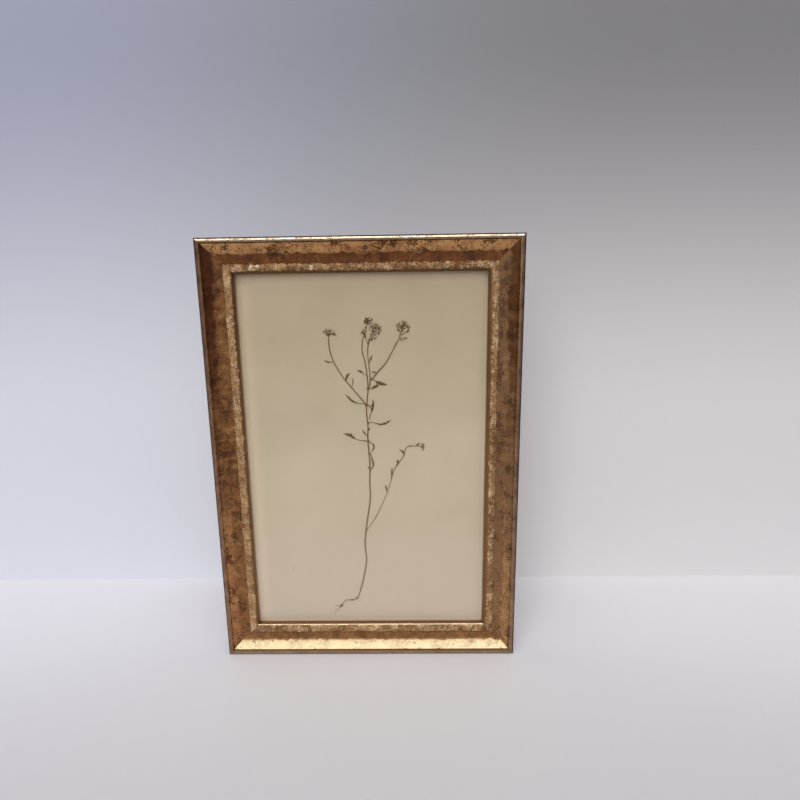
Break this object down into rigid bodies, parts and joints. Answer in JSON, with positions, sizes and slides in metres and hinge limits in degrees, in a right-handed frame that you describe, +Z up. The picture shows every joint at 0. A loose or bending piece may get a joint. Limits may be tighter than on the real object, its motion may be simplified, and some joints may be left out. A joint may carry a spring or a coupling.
{
  "type": "pressed flower frame",
  "caption": "Pressed flowering weed with its root, sealed behind glass in an upright frame of antique-gold scooped moulding with a beaded sight edge.",
  "frame": {"origin": "middle of the bottom edge, half way through the whole depth with the hanger", "axes": "+Z up along the long side, +X to the viewer's right, the glass faces -Y"},
  "size_m": [0.242, 0.0205, 0.342],
  "materials": {
    "gilded_moulding": "crackled antique gold over dark brown, rubbed and speckled",
    "clear_glass": "clear float glass, polished",
    "mount_paper": "matt, warm tan, lightly foxed",
    "hardboard": "pressed brown fibreboard, matt",
    "tab_steel": "zinc plated, satin",
    "hanger_brass": "brass plated, satin",
    "nail_steel": "bright, satin",
    "dried_stem": "dry, matt, purplish brown",
    "dried_leaf": "dry, matt, olive brown",
    "dried_flower": "dry, matt, faded brown"
  },
  "bodies": {
    "root": {"rail_left": "gilded_moulding", "rail_right": "gilded_moulding", "rail_top": "gilded_moulding", "rail_bottom": "gilded_moulding", "glass_pane": "clear_glass", "mount_sheet": "mount_paper", "backing_board": "hardboard", "tab_left_1": "tab_steel", "tab_left_2": "tab_steel", "tab_left_3": "tab_steel", "tab_right_1": "tab_steel", "tab_right_2": "tab_steel", "tab_right_3": "tab_steel", "tab_top_1": "tab_steel", "tab_top_2": "tab_steel", "tab_bottom_1": "tab_steel", "tab_bottom_2": "tab_steel", "hanger_plate": "hanger_brass", "hanger_nail_1": "nail_steel", "hanger_nail_2": "nail_steel", "main_stem": "dried_stem", "second_stem": "dried_stem", "left_branch": "dried_stem", "right_branch": "dried_stem", "low_branch": "dried_stem", "leaf_left_branch_tip": "dried_leaf", "leaf_left_branch_upper": "dried_leaf", "leaf_left_branch_inner": "dried_leaf", "leaf_left_branch_foot": "dried_leaf", "leaf_main_upper_left": "dried_leaf", "leaf_second_stem_upper": "dried_leaf", "leaf_right_branch_foot": "dried_leaf", "leaf_folded_upper": "dried_leaf", "leaf_folded_lower": "dried_leaf", "leaf_curled_foot": "dried_leaf", "leaf_curled": "dried_leaf", "leaf_toothed_right": "dried_leaf", "leaf_stub_left": "dried_leaf", "leaf_stub_right": "dried_leaf", "leaf_left_middle": "dried_leaf", "leaf_twisted_upper": "dried_leaf", "leaf_twisted_lower": "dried_leaf", "leaf_low_branch_first": "dried_leaf", "leaf_low_branch_second": "dried_leaf", "leaf_low_branch_third": "dried_leaf", "leaf_low_branch_curved": "dried_leaf", "flower_head_left": "dried_flower", "flower_head_centre_side": "dried_flower", "flower_head_centre_crown": "dried_flower", "flower_head_centre": "dried_flower", "flower_head_right": "dried_flower", "flower_head_low": "dried_flower"}
  },
  "joints": []
}
